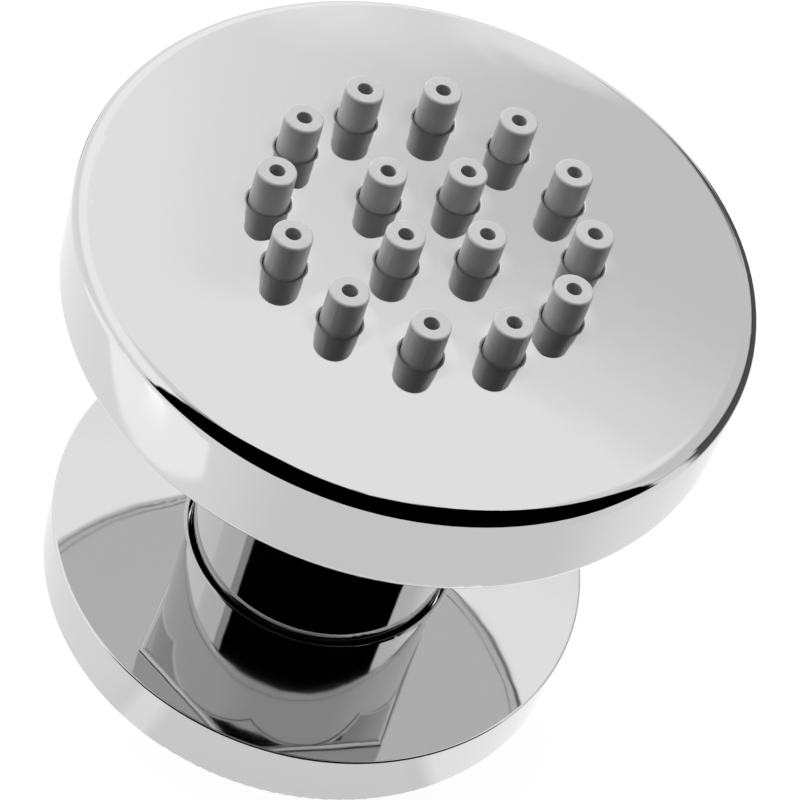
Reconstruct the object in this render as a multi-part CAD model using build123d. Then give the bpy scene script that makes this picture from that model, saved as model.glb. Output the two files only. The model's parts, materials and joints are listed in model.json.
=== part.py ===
from build123d import *
from math import cos, radians, sqrt, tan
import os

# Shower body jet in millimetres; +Z is the spray direction, z = 0 is the finished wall

# Head: cup, face and back
head_diameter = 65.0
head_thickness = 12.0
face_thickness = 2.2
face_crown = 1.05
face_round = 1.9
back_round = 1.5
cup_wall = 2.0
cover_thickness = 2.5
cover_ledge = 1.2
skirt_height = 3.5
skirt_wall = 3.2
head_gap = 5.7

# Nozzles in the mat, and the holes they stand through
outer_ring_radius = 14.9
outer_count = 12
inner_ring_radius = 5.5
inner_count = 4
nozzle_reach = 3.72
nozzle_tip_radius = 1.85
nozzle_root_radius = 1.87
nozzle_tip_round = 0.2
jet_radius = 0.75
feed_radius = 1.4
nozzle_clearance = 0.08
nozzle_hole_round = 0.3
mat_thickness = 1.5
mat_margin = 4.1

# Distributor plate and its screws
plate_thickness = 1.6
plate_clearance = 0.3
plate_margin = 2.6
boss_radius = 2.6
boss_clearance = 0.5
screw_count = 3
screw_radius = 1.2
screw_head_radius = 2.2
screw_head_height = 1.4
screw_socket_flats = 1.5
screw_socket_depth = 0.9
screw_hole_clearance = 0.2
screw_bite = 2.4
pilot_spare = 0.3

# Neck, inlet socket and waterway
neck_diameter = 27.4
neck_edge_round = 0.6
inlet_thread_radius = 9.315
inlet_thread_length = 10.0
inlet_chamfer = 1.0
thread_runout = 0.5
relief_depth = 1.3
washer_thickness = 2.5
washer_overlap = 1.0
limiter_radius = 7.4
limiter_height = 3.0
limiter_ports = 8
waterway_radius = 5.0
waterway_length = 3.5

# Ball joint and hexagonal nut
shoulder_width = 1.7
pocket_wall = 1.2
seat_wall = 1.7
seat_base = 1.8
seat_drop = 4.0
ball_rise = 3.0
spigot_length = 6.2
friction_ring_height = 1.6
nut_lip = 1.3
nut_step = 0.4
nut_edge_round = 0.7
nut_top_chamfer = 1.0
nut_turn = 45.7
stem_radius = 5.5
stem_bore = 3.5
stem_thread_radius = 6.0
stem_thread_length = 4.8
collar_flats = 17.0
collar_height = 2.0
boss_wall = 3.0
tilt_limit = 15.0

# Wall flange
flange_diameter = 56.3
flange_height = 7.25
flange_wall = 3.0
flange_face_thickness = 1.6
flange_front_round = 0.25
flange_back_round = 0.5
hole_round = 0.6
hub_wall = 3.2
hub_recess = 1.8
gasket_width = 1.5
gasket_depth = 1.5

# Sealing rings, filter and named clearances
ring_section = 0.9
stem_ring_section = 0.6
limiter_ring_section = 0.8
screen_thickness = 0.6
screen_pitch = 1.8
screen_opening = 1.0
fit = 0.1
swivel_play = 0.2
slide_clearance = 0.25
groove_spare = 0.2

# Radii worked out from the neck inwards
neck_radius = neck_diameter / 2
spigot_radius = neck_radius - shoulder_width
pocket_radius = spigot_radius - pocket_wall
seat_radius = pocket_radius - fit
ball_radius = seat_radius - seat_wall
socket_radius = ball_radius + swivel_play
relief_radius = inlet_thread_radius + relief_depth

# Heights worked out from the wall outwards
thread_end = inlet_chamfer + inlet_thread_length
washer_z = thread_end + thread_runout
socket_floor = washer_z + washer_thickness
screen_z = (washer_z + socket_floor) / 2
limiter_top = socket_floor + limiter_height
pocket_floor = limiter_top + waterway_length
ball_z = pocket_floor + seat_base + sqrt(socket_radius**2 - waterway_radius**2)
seat_top = ball_z - seat_drop
shoulder_z = ball_z - ball_rise
spigot_top = shoulder_z + spigot_length
ring_bottom = spigot_top + swivel_play
ring_top = ring_bottom + friction_ring_height
nut_lip_z = ring_top + swivel_play
nut_top = nut_lip_z + nut_lip
back_z = nut_top + head_gap
cover_top = back_z + cover_thickness
face_z = back_z + head_thickness
face_back = face_z - face_thickness
mat_back = face_back - mat_thickness
plate_back = mat_back - plate_thickness
nozzle_tip = face_z + nozzle_reach

# Radii worked out from the head's rim inwards
head_radius = head_diameter / 2
cover_bore = head_radius - cup_wall
cup_bore = cover_bore - cover_ledge
skirt_radius = cup_bore - fit
skirt_bore = skirt_radius - skirt_wall
plate_radius = skirt_bore - plate_clearance
boss_circle = plate_radius - plate_margin
hole_radius = nozzle_root_radius + nozzle_clearance
mat_radius = outer_ring_radius + mat_margin
stem_hole = stem_thread_radius + fit
ring_gland = stem_hole + 2 * stem_ring_section + groove_spare


def turned(corners, rounds=(), crown=None):
    """Solid turned about Z from (radius, height) corners; rounds pairs a corner's index with its radius.

    A crown is the radius of the arc that closes the outline, in place of a straight line.
    """
    closing = RadiusArc(corners[-1], corners[0], crown) if crown else Line(corners[-1], corners[0])
    profile = make_face(list(Polyline(*corners).edges()) + [closing])
    for index, radius in rounds:
        corner = profile.vertices().sort_by_distance((*corners[index], 0))[0]
        profile = fillet(corner, radius)
    return revolve(Plane.XZ * profile, Axis.Z)


def ring(inner, outer, bottom, top):
    """Plain ring of rectangular section."""
    return turned([(inner, bottom), (outer, bottom), (outer, top), (inner, top)])


def disc(radius, bottom, top):
    """Plain round plate."""
    return Pos(0, 0, bottom) * Cylinder(radius, top - bottom, align=(Align.CENTER, Align.CENTER, Align.MIN))


def prism(across_flats, bottom, top):
    """Hexagonal prism with two corners on the X axis."""
    hexagon = RegularPolygon(across_flats / 2, 6, major_radius=False)
    return Pos(0, 0, bottom) * extrude(hexagon, top - bottom)


def seal(radius, height, section):
    """Sealing ring of round section."""
    return Pos(0, 0, height) * Torus(radius, section)


def gland(radius, height, section):
    """Rectangular groove that holds such a ring, to be cut from the piece that carries it."""
    half_width = section + groove_spare
    half_depth = section + fit
    return ring(radius - half_depth, radius + half_depth, height - half_width, height + half_width)


def nozzle_places():
    """Centres of all nozzles; the inner ones share the directions of the outer ones."""
    outer = PolarLocations(outer_ring_radius, outer_count)
    inner = PolarLocations(inner_ring_radius, inner_count)
    return list(outer) + list(inner)


def screw_places():
    """Screw centres, each half way between two outer nozzles."""
    return list(PolarLocations(boss_circle, screw_count, start_angle=180 / outer_count))


def front_cup():
    blank = turned(
        [
            (head_radius, face_z - face_crown),
            (head_radius, back_z),
            (cover_bore, back_z),
            (cover_bore, cover_top),
            (cup_bore, cover_top),
            (cup_bore, face_back),
            (0, face_back),
            (0, face_z),
        ],
        rounds=[(0, face_round), (1, back_round)],
        crown=(head_radius**2 + face_crown**2) / (2 * face_crown),
    )
    # The dome's seam is turned away from the nozzles, so that each hole has one whole edge
    cup = Rot(0, 0, 180 / inner_count) * blank
    boss = disc(boss_radius, mat_back, face_back)
    pilot = disc(screw_radius + fit, mat_back, mat_back + screw_bite + pilot_spare)
    cup += [place * boss for place in screw_places()]
    cup -= [place * pilot for place in screw_places()]
    hole = disc(hole_radius, face_back, face_z)
    cup -= [place * hole for place in nozzle_places()]
    spray_face = cup.faces().sort_by(Axis.Z)[-1]
    return fillet([wire.edge() for wire in spray_face.inner_wires()], nozzle_hole_round)


def nozzle():
    """One hollow nozzle of the mat, standing on the mat's back."""
    return turned(
        [
            (feed_radius, mat_back),
            (nozzle_root_radius, mat_back),
            (nozzle_root_radius, face_z),
            (nozzle_tip_radius, nozzle_tip),
            (jet_radius, nozzle_tip),
        ],
        rounds=[(3, nozzle_tip_round)],
    )


def nozzle_mat():
    mat = disc(mat_radius, mat_back, face_back)
    core = disc(nozzle_root_radius, mat_back, face_back)
    mat -= [place * core for place in nozzle_places()]
    boss_room = disc(boss_radius + boss_clearance, mat_back, face_back)
    mat -= [place * boss_room for place in screw_places()]
    return mat + [place * nozzle() for place in nozzle_places()]


def distributor_plate():
    plate = disc(plate_radius, plate_back, mat_back)
    port = disc(feed_radius, plate_back, mat_back)
    screw_hole = disc(screw_radius + screw_hole_clearance, plate_back, mat_back)
    plate -= [place * port for place in nozzle_places()]
    plate -= [place * screw_hole for place in screw_places()]
    return plate


def plate_screws():
    shank = disc(screw_radius, plate_back, mat_back + screw_bite)
    head = turned(
        [
            (0, plate_back - screw_head_height),
            (screw_head_radius, plate_back - screw_head_height),
            (screw_head_radius, plate_back),
            (0, plate_back),
        ],
        rounds=[(1, screw_head_height / 2)],
    )
    head_end = plate_back - screw_head_height
    screw = shank + head - prism(screw_socket_flats, head_end, head_end + screw_socket_depth)
    return Compound([place * screw for place in screw_places()])


def back_cover():
    skirt_top = cover_top + skirt_height
    boss_radius_inside = stem_hole + boss_wall
    boss_top = back_z + stem_thread_length
    cover = turned(
        [
            (stem_hole, back_z),
            (cover_bore - fit, back_z),
            (cover_bore - fit, cover_top),
            (skirt_radius, cover_top),
            (skirt_radius, skirt_top),
            (skirt_bore, skirt_top),
            (skirt_bore, cover_top),
            (boss_radius_inside, cover_top),
            (boss_radius_inside, boss_top),
            (stem_hole, boss_top),
        ]
    )
    cover -= ring(stem_hole, ring_gland, back_z, back_z + 2 * stem_ring_section)
    return cover - gland(cup_bore - ring_section, cover_top + skirt_height / 2, ring_section)


def cover_o_ring():
    return seal(skirt_radius - ring_section, cover_top + skirt_height / 2, ring_section)


def stem_o_ring():
    radius = stem_hole + groove_spare / 2 + stem_ring_section
    return seal(radius, back_z + stem_ring_section, stem_ring_section)


def ball_stem():
    ball = Pos(0, 0, ball_z) * Sphere(ball_radius)
    stem = disc(stem_radius, ball_z, back_z)
    collar = prism(collar_flats, back_z - collar_height, back_z)
    thread = disc(stem_thread_radius, back_z, back_z + stem_thread_length)
    bore = disc(stem_bore, ball_z - ball_radius, back_z + stem_thread_length)
    return ball + stem + collar + thread - bore


def friction_ring():
    blank = ring(ball_radius / 2, spigot_radius + fit - swivel_play, ring_bottom, ring_top)
    return blank - Pos(0, 0, ball_z) * Sphere(socket_radius)


def swivel_nut():
    lean = radians(tilt_limit)
    stem_room = (nut_top - ball_z) * tan(lean) + stem_radius / cos(lean) + 2 * swivel_play
    flats = neck_diameter + 2 * nut_step
    body = prism(flats, shoulder_z, nut_top)
    lower_edges = body.faces().sort_by(Axis.Z)[0].edges()
    body = fillet(lower_edges, nut_edge_round)
    corner_radius = flats / sqrt(3)
    crown = turned(
        [
            (0, shoulder_z),
            (corner_radius, shoulder_z),
            (corner_radius, nut_top - nut_top_chamfer),
            (flats / 2, nut_top),
            (0, nut_top),
        ]
    )
    body &= crown
    body -= disc(spigot_radius + fit, shoulder_z, nut_lip_z)
    body -= disc(stem_room, nut_lip_z, nut_top)
    body -= Pos(0, 0, ball_z) * Sphere(socket_radius)
    return Rot(0, 0, nut_turn) * body


def inlet_body():
    return turned(
        [
            (inlet_thread_radius + inlet_chamfer, 0),
            (neck_radius, 0),
            (neck_radius, shoulder_z),
            (spigot_radius, shoulder_z),
            (spigot_radius, spigot_top),
            (pocket_radius, spigot_top),
            (pocket_radius, pocket_floor),
            (waterway_radius, pocket_floor),
            (waterway_radius, limiter_top),
            (limiter_radius + fit, limiter_top),
            (limiter_radius + fit, socket_floor),
            (relief_radius, socket_floor),
            (relief_radius, thread_end),
            (inlet_thread_radius, thread_end),
            (inlet_thread_radius, inlet_chamfer),
        ],
        rounds=[(1, neck_edge_round)],
    )


def ball_seat():
    blank = ring(waterway_radius, seat_radius, pocket_floor, seat_top)
    seat = blank - Pos(0, 0, ball_z) * Sphere(socket_radius)
    return seat - gland(seat_radius - ring_section + fit, (pocket_floor + seat_top) / 2, ring_section)


def seat_o_ring():
    return seal(seat_radius - ring_section, (pocket_floor + seat_top) / 2, ring_section)


def ball_o_ring():
    height = seat_top + ring_section
    reach = socket_radius + ring_section
    return seal(sqrt(reach**2 - (ball_z - height) ** 2), height, ring_section)


def inlet_washer():
    inner = limiter_radius - washer_overlap
    washer = ring(inner, relief_radius - fit, washer_z, socket_floor)
    groove = ring(inner, limiter_radius, screen_z - screen_thickness / 2, screen_z + screen_thickness / 2)
    return washer - groove


def filter_screen():
    screen_radius = limiter_radius - fit
    screen = disc(screen_radius, screen_z - screen_thickness / 2, screen_z + screen_thickness / 2)
    opening = Pos(0, 0, screen_z) * Box(screen_opening, screen_opening, 2 * screen_thickness)
    reach = limiter_radius - washer_overlap - screen_opening
    count = 2 * int(reach / screen_pitch) + 1
    grid = GridLocations(screen_pitch, screen_pitch, count, count)
    places = [place for place in grid if place.position.length < reach]
    return screen - [place * opening for place in places]


def flow_limiter():
    limiter = disc(limiter_radius, socket_floor, limiter_top)
    limiter -= limiter_gland()
    port = disc(limiter_ring_section, socket_floor, limiter_top)
    return limiter - [place * port for place in PolarLocations(limiter_ring_radius(), limiter_ports)]


def limiter_ring_radius():
    return waterway_radius - limiter_ring_section


def limiter_gland():
    half = limiter_ring_section + groove_spare
    middle = limiter_ring_radius()
    return ring(middle - half, middle + half, socket_floor, socket_floor + 2 * limiter_ring_section)


def limiter_ring():
    return seal(limiter_ring_radius(), socket_floor + limiter_ring_section, limiter_ring_section)


def wall_flange():
    outer = flange_diameter / 2
    hole = neck_radius + slide_clearance
    cavity_top = flange_height - flange_face_thickness
    flange = turned(
        [
            (hole, flange_height),
            (hole, hub_recess),
            (hole + hub_wall, hub_recess),
            (hole + hub_wall, cavity_top),
            (outer - flange_wall, cavity_top),
            (outer - flange_wall, 0),
            (outer, 0),
            (outer, flange_height),
        ],
        rounds=[(0, hole_round), (6, flange_back_round), (7, flange_front_round)],
    )
    flange -= gasket_groove(outer)
    return flange - gland(hole + ring_section, ring_level(), ring_section)


def ring_level():
    """Height of the flange's grip ring, half way up its hub."""
    return (hub_recess + flange_height) / 2


def gasket_groove(outer):
    middle = outer - flange_wall / 2
    return ring(middle - gasket_width / 2, middle + gasket_width / 2, 0, gasket_depth)


def flange_gasket():
    middle = flange_diameter / 2 - flange_wall / 2
    half = gasket_width / 2 - fit
    return ring(middle - half, middle + half, 0, gasket_depth)


def flange_o_ring():
    return seal(neck_radius + fit + ring_section, ring_level(), ring_section)


pieces = [
    front_cup,
    nozzle_mat,
    distributor_plate,
    plate_screws,
    back_cover,
    cover_o_ring,
    stem_o_ring,
    ball_stem,
    friction_ring,
    swivel_nut,
    inlet_body,
    ball_seat,
    seat_o_ring,
    ball_o_ring,
    inlet_washer,
    filter_screen,
    flow_limiter,
    limiter_ring,
    wall_flange,
    flange_gasket,
    flange_o_ring,
]

os.makedirs("parts", exist_ok=True)
for piece in pieces:
    export_step(piece(), f"parts/{piece.__name__}.step")
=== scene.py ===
import json
from math import cos, pi, radians, sin

import bpy
from mathutils import Matrix, Vector

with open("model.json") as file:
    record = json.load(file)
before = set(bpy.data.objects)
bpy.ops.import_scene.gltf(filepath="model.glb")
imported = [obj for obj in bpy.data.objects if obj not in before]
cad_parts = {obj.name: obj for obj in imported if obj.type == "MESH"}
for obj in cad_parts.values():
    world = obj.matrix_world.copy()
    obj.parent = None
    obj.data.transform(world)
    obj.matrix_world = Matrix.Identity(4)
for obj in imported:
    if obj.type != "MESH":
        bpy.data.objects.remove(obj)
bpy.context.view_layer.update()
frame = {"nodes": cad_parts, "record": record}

# Camera that repeats the photograph's perspective; lengths in metres, angles in degrees
camera_target = Vector((0.0028, 0.0009, 0.0309))
camera_distance = 0.2726
camera_azimuth = 17.37
camera_elevation = 48.06
camera_roll = -20.11
camera_lens = 125.0
camera_clip = 0.01

# Studio: white all round and brightest at the sides, with panels that polished metal shows as its streaks.
# Angles are in degrees: turn is to the right from the camera's own direction, rise is above the horizon.
# A panel holds its turn from and to, its rise from and to, the softness of both pairs of edges and its level.
turn_from, turn_to = -90.0, 270.0
sky_low = 1.1
sky_side = 1.25
sky_high = 1.14
sky_low_to_side = (-5.0, 12.0)
sky_side_to_high = (32.0, 40.0)
far_wall = (150, 193, 36.3, 50, 3, 1.2, 1.04)
grey_wall = (92, 184, 12, 46, 8, 4.5, 0.8)
far_light = (175, 183, 5, 34.6, 1.5, 0.6, 1.12)
grey_post = (88, 112, -40, 12, 2, 3, 0.77)
dark_door = (107.5, 166, -32, 11, 1.5, 5, 0.08)
door_head = (157, 168, 0, 25, 5, 6, 0.1)
left_wall = (-92, -40, 43, 62, 14, 3, 0.95)
right_wall = (80, 118, 46, 62, 14, 3, 0.94)
grey_edge = (-61, -40, 43, 62, 1, 3, 0.5)
black_wall = (-57, 91.5, -11.5, 79, 1.2, 2.5, 0.0)
black_wall_lean = 0.07

# Floor: its own white, a little light from the studio so that a soft shadow stays, and what metal mirrors.
# A mat holds its turn from and to, its distance from and to in millimetres, both softnesses and its level.
# A card lies square to its own turn. It holds side and distance limits in millimetres, and then the same.
floor_side = 6.0
floor_gap = 0.00002
floor_white = 0.93
floor_diffuse = 0.2
floor_left = 0.88
floor_front = 0.73
floor_right = 0.88
floor_left_to_front = (-38.0, -4.0)
floor_front_to_right = (60.0, 90.0)
millimetres = 1000.0
near_front = (-30, 44, 0, 45, 8, 6, 0.82)
near_streak = (-27, -20, 0, 45, 2, 4, 0.98)
near_right = (44, 110, 0, 45, 3, 4, 1.04)
dark_mat = (102, 160, 98, 5000, 3, 10, 0.1)
far_mat = (184, 235, 73, 101, 4, 3, 0.3)
black_mat = (-58, 91, 290, 5000, 2, 10, 0.0)
card_turn = -53
bright_card = (-60, 24, 64.5, 160, 1.5, 1, 1.13)
bright_spot = (-5, 5, 71, 110, 3, 3, 1.4)

# Nozzles as in the part: rings of radius and count, hole edge and tip height in metres
nozzle_rings = ((0.0149, 12), (0.0055, 4))
nozzle_hole = 0.00225
nozzle_tip = 0.057943
dip_width = 0.0014
dip_depth = 0.00004

# Where the plating ends, as radius and height in metres: inside the inlet socket, and in the flange's hollow
inlet_bare = (0.0107, 0.021)
flange_bare = (0.02515, 0.0056)
bare_soft = 0.0002

# Inlet thread as in the part, with the pitch and depth of a half-inch pipe thread, in metres
thread_radius = 0.009315
thread_from = 0.001
thread_to = 0.011
thread_fade = 0.0005
thread_wall = (0.0002, 0.0003)
thread_pitch = 0.001814
thread_depth = 0.0008

# Finishes: colours are reflectances, noise scales are per metre, and heights are in metres.
# The silicone's two shades are its sides and its tips, where the paler tip shade is painted light for the lit
# tops, and the band of that painted light is measured down from the nozzle tip.
noise_spread = (0.3, 0.7)
fine_detail = 4.0
grain_height = 0.0002
chrome_colour = (0.64, 0.64, 0.64, 1)
chrome_haze_scale = 90.0
chrome_roughness = (0.02, 0.05)
chrome_wave_scale = 120.0
chrome_wave_height = 0.00002
brass = (0.66, 0.47, 0.22, 1)
dull_plate = (0.4, 0.4, 0.41, 1)
bare_scale = 700.0
bare_roughness = (0.2, 0.32)
# Painted light: the second silicone shade makes the nozzle tops paler than the sides, as lit tops look.
silicone_side_and_painted_top_shades = (0.62, 0.9)
painted_top_band = (0.00024, 0.00018)
silicone_mottle_scale = 1000.0
silicone_mottle = 0.02
silicone_grain_scale = 4000.0
silicone_grain = 0.1
silicone_roughness = 0.3
foam_scale = 2200.0
foam_cell = (0.1, 0.7)
foam_dark = (0.04, 0.04, 0.04, 1)
foam_light = (0.13, 0.13, 0.13, 1)
foam_grain = 0.8
foam_roughness = 0.9
steel_colour = (0.55, 0.54, 0.52, 1)
steel_scale = 900.0
steel_roughness = (0.22, 0.4)

# Mouldings: darker and lighter grey, roughness, strength of the grain
moulded_scale = 3000.0
moulded_mottle_scale = 750.0
acetal = (0.74, 0.8, 0.4, 0.1)
black_rubber = (0.02, 0.035, 0.5, 0.15)


def new_material(name):
    """Empty node material and its node tree."""
    material = bpy.data.materials.new(name)
    material.use_nodes = True
    material.node_tree.nodes.clear()
    return material, material.node_tree


def add(tree, kind, settings=(), **sockets):
    """New node; settings are its own properties, sockets are input values or links by name."""
    node = tree.nodes.new(kind)
    for key, value in dict(settings).items():
        setattr(node, key, value)
    for key, value in sockets.items():
        plug(tree, node.inputs[key.replace("_", " ")], value)
    return node


def plug(tree, socket, value):
    """Link an output to the socket, or set the socket's value."""
    if isinstance(value, bpy.types.NodeSocket):
        tree.links.new(value, socket)
    else:
        socket.default_value = value


def maths(tree, operation, *values):
    """Math node over values that may be numbers or links."""
    node = tree.nodes.new("ShaderNodeMath")
    node.operation = operation
    for socket, value in zip(node.inputs, values):
        plug(tree, socket, value)
    return node.outputs[0]


def product(tree, first, *others):
    """All the values multiplied together."""
    for value in others:
        first = maths(tree, "MULTIPLY", first, value)
    return first


def hypotenuse(tree, first, second):
    """Length from two sides at a right angle."""
    squares = maths(tree, "ADD", product(tree, first, first), product(tree, second, second))
    return maths(tree, "SQRT", squares)


def ramp(tree, value, low, high, start=0.0, end=1.0):
    """Smooth step of a value between two limits."""
    node = add(tree, "ShaderNodeMapRange", {"interpolation_type": "SMOOTHSTEP"})
    for socket, number in zip(node.inputs, (value, low, high, start, end)):
        plug(tree, socket, number)
    return node.outputs[0]


def noise(tree, scale, detail=2.0):
    """Noise over the part's own coordinates, which are in metres."""
    place = add(tree, "ShaderNodeTexCoord").outputs["Object"]
    return add(tree, "ShaderNodeTexNoise", Vector=place, Scale=scale, Detail=detail).outputs["Fac"]


def position(tree):
    """The part's own x, y and z in metres."""
    place = add(tree, "ShaderNodeTexCoord").outputs["Object"]
    return add(tree, "ShaderNodeSeparateXYZ", Vector=place).outputs


def mix(tree, factor, first, second):
    """Blend of two colours."""
    node = add(tree, "ShaderNodeMix", {"data_type": "RGBA"}, Factor=factor)
    plug(tree, node.inputs[6], first)
    plug(tree, node.inputs[7], second)
    return node.outputs[2]


def grey(tree, shade):
    """Grey colour from a linked shade."""
    return add(tree, "ShaderNodeCombineColor", Red=shade, Green=shade, Blue=shade).outputs[0]


def bump(tree, height, strength=1.0, distance=1.0):
    """Normal that a height gives."""
    return add(tree, "ShaderNodeBump", Strength=strength, Distance=distance, Height=height).outputs[0]


def surface(tree, shader):
    """End the tree with a shader."""
    output = add(tree, "ShaderNodeOutputMaterial")
    tree.links.new(shader.outputs[0], output.inputs["Surface"])


def principled(tree, **sockets):
    """End the tree with a Principled shader."""
    surface(tree, add(tree, "ShaderNodeBsdfPrincipled", **sockets))


def nozzle_rise(tree):
    """Height of the face around the nozzle holes, where polishing leaves a shallow dip."""
    x, y, _ = position(tree)
    radius = hypotenuse(tree, x, y)
    angle = maths(tree, "ARCTAN2", y, x)
    nearest = 1.0
    for ring_radius, count in nozzle_rings:
        swing = maths(tree, "WRAP", angle, pi / count, -pi / count)
        reach = product(tree, radius, maths(tree, "COSINE", swing))
        ahead = maths(tree, "SUBTRACT", reach, ring_radius)
        aside = product(tree, radius, maths(tree, "SINE", swing))
        nearest = maths(tree, "MINIMUM", nearest, hypotenuse(tree, ahead, aside))
    away = maths(tree, "DIVIDE", maths(tree, "SUBTRACT", nearest, nozzle_hole), dip_width)
    close = maths(tree, "MAXIMUM", maths(tree, "SUBTRACT", 1.0, away), 0.0)
    return product(tree, close, close, -dip_depth)


def inlet_thread(tree):
    """Height of the pipe thread's flanks inside the inlet socket."""
    x, y, z = position(tree)
    along = maths(tree, "DIVIDE", z, thread_pitch)
    around_axis = maths(tree, "DIVIDE", maths(tree, "ARCTAN2", y, x), 2 * pi)
    flank = maths(tree, "PINGPONG", maths(tree, "SUBTRACT", along, around_axis), 0.5)
    off = maths(tree, "ABSOLUTE", maths(tree, "SUBTRACT", hypotenuse(tree, x, y), thread_radius))
    mask = product(
        tree,
        ramp(tree, off, *thread_wall, 1.0, 0.0),
        ramp(tree, z, thread_from, thread_from + thread_fade),
        ramp(tree, z, thread_to - thread_fade, thread_to, 1.0, 0.0),
    )
    return product(tree, flank, 2 * thread_depth, mask)


def chrome(name, bare=None, bare_colour=None, relief=None):
    """Mirror chrome with a faint haze and waviness; the metal inside the bare limits is unplated."""
    material, tree = new_material(name)
    colour = chrome_colour
    roughness = ramp(tree, noise(tree, chrome_haze_scale), *noise_spread, *chrome_roughness)
    height = product(tree, noise(tree, chrome_wave_scale), chrome_wave_height)
    if bare:
        x, y, z = position(tree)
        inside = product(
            tree,
            ramp(tree, hypotenuse(tree, x, y), bare[0] - bare_soft, bare[0], 1.0, 0.0),
            ramp(tree, z, bare[1] - bare_soft, bare[1], 1.0, 0.0),
        )
        colour = mix(tree, inside, colour, bare_colour)
        dull = ramp(tree, noise(tree, bare_scale), *noise_spread, *bare_roughness)
        roughness = maths(tree, "MAXIMUM", roughness, product(tree, inside, dull))
    if relief:
        height = maths(tree, "ADD", height, relief(tree))
    principled(tree, Base_Color=colour, Metallic=1.0, Roughness=roughness, Normal=bump(tree, height))
    return material


def silicone():
    """Grey silicone of the nozzle mat, with a fine grain and a painted highlight that makes the tips paler
    than the sides.
    """
    material, tree = new_material("silicone")
    below, above = painted_top_band
    # Painted light: the tips are painted paler than the sides, as the lit tops look, by height below the
    # nozzle tip.
    painted_top_light = ramp(tree, position(tree)[2], nozzle_tip - below, nozzle_tip - above, *silicone_side_and_painted_top_shades)
    cloud = noise(tree, silicone_mottle_scale)
    mottle = ramp(tree, cloud, *noise_spread, -silicone_mottle, silicone_mottle)
    shade = maths(tree, "ADD", painted_top_light, mottle)
    grain = bump(tree, noise(tree, silicone_grain_scale, fine_detail), silicone_grain, grain_height)
    principled(tree, Base_Color=grey(tree, shade), Roughness=silicone_roughness, Normal=grain)
    return material


def foam():
    """Black closed-cell foam with its cells."""
    material, tree = new_material("foam")
    place = add(tree, "ShaderNodeTexCoord").outputs["Object"]
    cell = add(tree, "ShaderNodeTexVoronoi", Vector=place, Scale=foam_scale).outputs["Distance"]
    colour = mix(tree, ramp(tree, cell, *foam_cell), foam_dark, foam_light)
    grain = bump(tree, cell, foam_grain, grain_height)
    principled(tree, Base_Color=colour, Roughness=foam_roughness, Normal=grain)
    return material


def moulded(name, dark, light, roughness, strength):
    """Moulded soft or hard plastic: slight mottling and a fine grain."""
    material, tree = new_material(name)
    colour = mix(tree, noise(tree, moulded_mottle_scale), (dark, dark, dark, 1), (light, light, light, 1))
    grain = bump(tree, noise(tree, moulded_scale, fine_detail), strength, grain_height)
    principled(tree, Base_Color=colour, Roughness=roughness, Normal=grain)
    return material


def steel():
    """Plain stainless steel with a rolled grain."""
    material, tree = new_material("steel")
    grain = ramp(tree, noise(tree, steel_scale, fine_detail), *noise_spread, *steel_roughness)
    principled(tree, Base_Color=steel_colour, Metallic=1.0, Roughness=grain)
    return material


def dress():
    """Give every node the finish that its record slot names, and three nodes a chrome of their own."""
    finishes = {
        "chrome": chrome("chrome"),
        "silicone": silicone(),
        "acetal": moulded("acetal", *acetal),
        "black_rubber": moulded("black_rubber", *black_rubber),
        "foam": foam(),
        "steel": steel(),
    }
    for subpart in frame["record"]["subparts"]:
        mesh = frame["nodes"][subpart["node"]].data
        mesh.materials.clear()
        mesh.materials.append(finishes[subpart["material_slot"]])
    own = {
        "front_cup": chrome("face_chrome", relief=nozzle_rise),
        "inlet_body": chrome("inlet_chrome", inlet_bare, brass, inlet_thread),
        "wall_flange": chrome("flange_chrome", flange_bare, dull_plate),
    }
    for node, material in own.items():
        frame["nodes"][node].data.materials[0] = material


def around(tree, vector):
    """Turn of a direction in degrees, and its height."""
    x, y, z = add(tree, "ShaderNodeSeparateXYZ", Vector=vector).outputs
    sine, cosine = sin(radians(camera_azimuth)), cos(radians(camera_azimuth))
    ahead = maths(tree, "SUBTRACT", product(tree, x, sine), product(tree, y, cosine))
    aside = maths(tree, "ADD", product(tree, x, cosine), product(tree, y, sine))
    turn = maths(tree, "DEGREES", maths(tree, "ARCTAN2", aside, ahead))
    return maths(tree, "WRAP", turn, turn_to, turn_from), z


def hang(tree, light, turn, rise, panel, lean=0.0):
    """Cover the light with a panel; lean carries its left edge over as it rises."""
    left, right, bottom, top, side_soft, end_soft, level = panel
    leaned = maths(tree, "SUBTRACT", turn, product(tree, rise, lean))
    mask = product(
        tree,
        ramp(tree, leaned, left - side_soft, left + side_soft),
        ramp(tree, turn, right - side_soft, right + side_soft, 1.0, 0.0),
        ramp(tree, rise, bottom - end_soft, bottom + end_soft),
        ramp(tree, rise, top - end_soft, top + end_soft, 1.0, 0.0),
    )
    change = product(tree, maths(tree, "SUBTRACT", level, light), mask)
    return maths(tree, "ADD", light, change)


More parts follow.
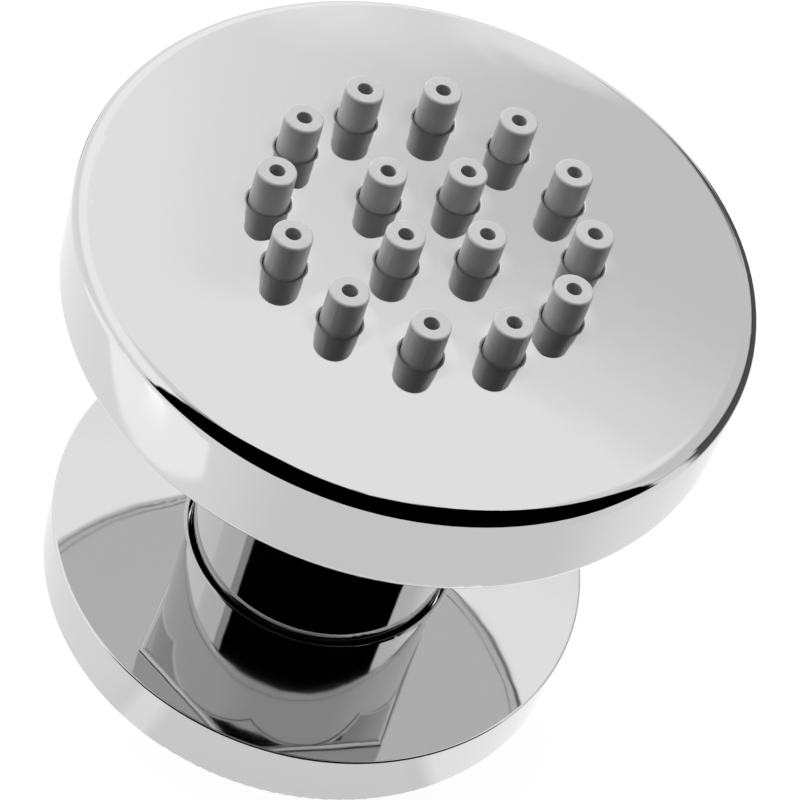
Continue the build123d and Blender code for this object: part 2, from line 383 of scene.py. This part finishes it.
def studio():
    """World: soft white light and the panels."""
    world = bpy.data.worlds.new("studio")
    bpy.context.scene.world = world
    world.use_nodes = True
    tree = world.node_tree
    tree.nodes.clear()
    direction = add(tree, "ShaderNodeTexCoord").outputs["Generated"]
    turn, height = around(tree, direction)
    rise = maths(tree, "DEGREES", maths(tree, "ARCSINE", height))
    light = ramp(tree, rise, *sky_low_to_side, sky_low, sky_side)
    light = maths(tree, "ADD", light, ramp(tree, rise, *sky_side_to_high, 0.0, sky_high - sky_side))
    far_panels = (far_wall, grey_wall, far_light, grey_post, dark_door, door_head)
    side_panels = (left_wall, right_wall, grey_edge)
    for panel in far_panels + side_panels:
        light = hang(tree, light, turn, rise, panel)
    light = hang(tree, light, turn, rise, black_wall, black_wall_lean)
    rays = add(tree, "ShaderNodeLightPath").outputs
    shown = maths(tree, "MAXIMUM", light, rays["Is Camera Ray"])
    background = add(tree, "ShaderNodeBackground", Color=(1, 1, 1, 1), Strength=shown)
    output = add(tree, "ShaderNodeOutputWorld")
    tree.links.new(background.outputs[0], output.inputs["Surface"])


def floor_mirror(tree):
    """What metal mirrors of the floor: its light, and the share that the dark mats leave clear."""
    place = add(tree, "ShaderNodeTexCoord").outputs["Object"]
    turn, _ = around(tree, place)
    length = add(tree, "ShaderNodeVectorMath", {"operation": "LENGTH"}, Vector=place).outputs["Value"]
    distance = product(tree, length, millimetres)
    light = ramp(tree, turn, *floor_left_to_front, floor_left, floor_front)
    right = ramp(tree, turn, *floor_front_to_right, 0.0, floor_right - floor_front)
    light = maths(tree, "ADD", light, right)
    for mat in (near_front, near_streak, near_right):
        light = hang(tree, light, turn, distance, mat)
    aim = maths(tree, "RADIANS", maths(tree, "SUBTRACT", turn, card_turn))
    ahead = product(tree, distance, maths(tree, "COSINE", aim))
    aside = product(tree, distance, maths(tree, "SINE", aim))
    for card in (bright_card, bright_spot):
        light = hang(tree, light, aside, ahead, card)
    clear = 1.0
    for mat in (dark_mat, far_mat, black_mat):
        clear = hang(tree, clear, turn, distance, mat)
    return light, clear


def floor():
    """Plain white floor under the part, a hair below it so that no faces coincide."""
    half = floor_side / 2
    mesh = bpy.data.meshes.new("floor")
    corners = [(x, y, -floor_gap) for x, y in ((-half, -half), (half, -half), (half, half), (-half, half))]
    mesh.from_pydata(corners, [], [(0, 1, 2, 3)])
    plane = bpy.data.objects.new("floor", mesh)
    bpy.context.scene.collection.objects.link(plane)
    material, tree = new_material("floor")
    mirrored, clear = floor_mirror(tree)
    rays = add(tree, "ShaderNodeLightPath").outputs
    by_metal = maths(tree, "MAXIMUM", rays["Is Glossy Ray"], rays["Is Transmission Ray"])
    by_camera = product(tree, rays["Is Camera Ray"], floor_white)
    strength = maths(tree, "ADD", by_camera, product(tree, by_metal, product(tree, mirrored, clear)))
    glow = add(tree, "ShaderNodeEmission", Strength=strength)
    covered = product(tree, by_metal, maths(tree, "SUBTRACT", 1.0, clear))
    shade = product(tree, floor_diffuse, maths(tree, "SUBTRACT", 1.0, covered))
    paint = add(tree, "ShaderNodeBsdfDiffuse", Color=grey(tree, shade))
    both = add(tree, "ShaderNodeAddShader")
    tree.links.new(glow.outputs[0], both.inputs[0])
    tree.links.new(paint.outputs[0], both.inputs[1])
    surface(tree, both)
    mesh.materials.append(material)


def camera():
    """Long lens looking down on the spray face, leaning as the photograph does."""
    turn, rise, roll = radians(camera_azimuth), radians(camera_elevation), radians(camera_roll)
    back = Vector((sin(turn) * cos(rise), -cos(turn) * cos(rise), sin(rise)))
    level = Vector((cos(turn), sin(turn), 0))
    upright = back.cross(level)
    up = cos(roll) * upright + sin(roll) * level
    right = up.cross(back)
    data = bpy.data.cameras.new("camera")
    data.lens = camera_lens
    data.clip_start = camera_clip
    eye = bpy.data.objects.new("camera", data)
    bpy.context.scene.collection.objects.link(eye)
    place = Matrix((right, up, back)).transposed().to_4x4()
    place.translation = camera_target + camera_distance * back
    eye.matrix_world = place
    bpy.context.scene.camera = eye


dress()
studio()
floor()
camera()
bpy.context.scene.view_settings.view_transform = "Standard"
